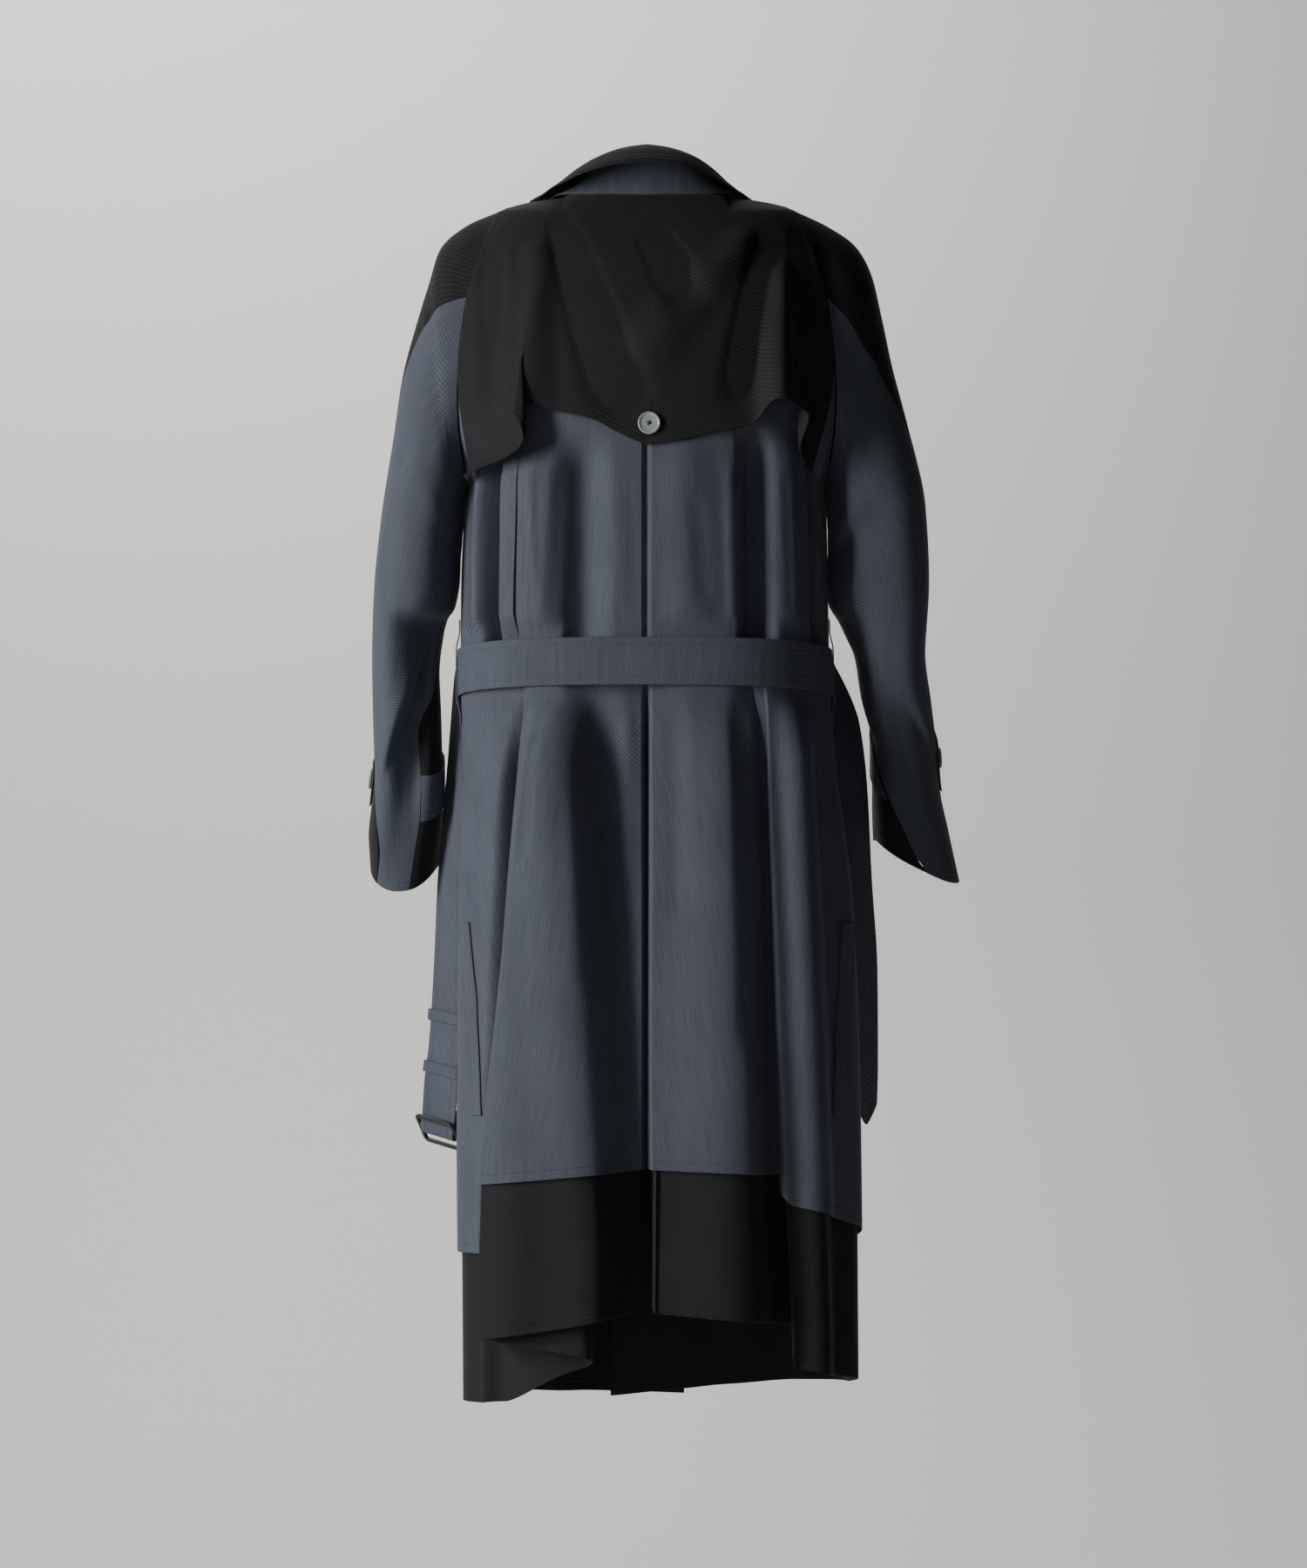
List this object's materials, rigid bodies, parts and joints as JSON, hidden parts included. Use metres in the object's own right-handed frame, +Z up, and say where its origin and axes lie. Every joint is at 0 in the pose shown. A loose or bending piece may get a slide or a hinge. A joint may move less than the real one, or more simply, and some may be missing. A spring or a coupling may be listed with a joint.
{
  "type": "long belted coat",
  "caption": "Long belted coat kept in its worn shape with nobody in it: storm flap, turned-down collar, full sleeves, a knee-length body with a darker layer below it, and a hanging belt with a buckle.",
  "frame": {"origin": "middle of the neck opening, at the height of the nape, where the wearer holds the coat up", "axes": "+Z up along the wearer's body, +Y out of the coat's back, +X towards the wearer's left"},
  "size_m": [0.6333, 0.3313, 1.3216],
  "materials": {
    "slate_wool": "fine slate-grey wool with a faint upright streak",
    "black_twill": "matt black twill with a visible diagonal",
    "pale_horn": "pale grey-green, soft gloss",
    "dark_metal": "dark gunmetal, brushed"
  },
  "bodies": {
    "coat": {"back_left": "slate_wool", "back_right": "slate_wool", "front_left": "slate_wool", "front_right": "slate_wool", "under_back_left": "black_twill", "under_back_right": "black_twill", "under_front_left": "black_twill", "under_front_right": "black_twill", "sleeve_left_back": "slate_wool", "sleeve_left_top": "black_twill", "sleeve_right_back": "slate_wool", "sleeve_right_top": "black_twill", "storm_flap": "black_twill", "collar_stand": "slate_wool", "collar_fall": "black_twill", "belt": "slate_wool", "belt_keeper_1": "slate_wool", "belt_keeper_2": "slate_wool", "belt_loop_left": "slate_wool", "belt_loop_right": "slate_wool", "cuff_strap_left": "slate_wool", "cuff_strap_right": "slate_wool", "pocket_welt_left": "slate_wool", "pocket_welt_right": "slate_wool", "flap_button": "pale_horn", "front_button_1": "pale_horn", "front_button_2": "pale_horn", "front_button_3": "pale_horn", "front_button_4": "pale_horn", "front_button_5": "pale_horn", "cuff_button_left": "pale_horn", "cuff_button_right": "pale_horn"},
    "buckle": {"belt_buckle": "dark_metal"}
  },
  "joints": [
    {"name": "buckle_swing", "type": "hinge", "parent": "coat", "child": "buckle", "pos_m": [0.2215, -0.019, -0.973], "axis": [-0.7485, 0.6362, -0.1871], "range_deg": [-9, 48]}
  ]
}
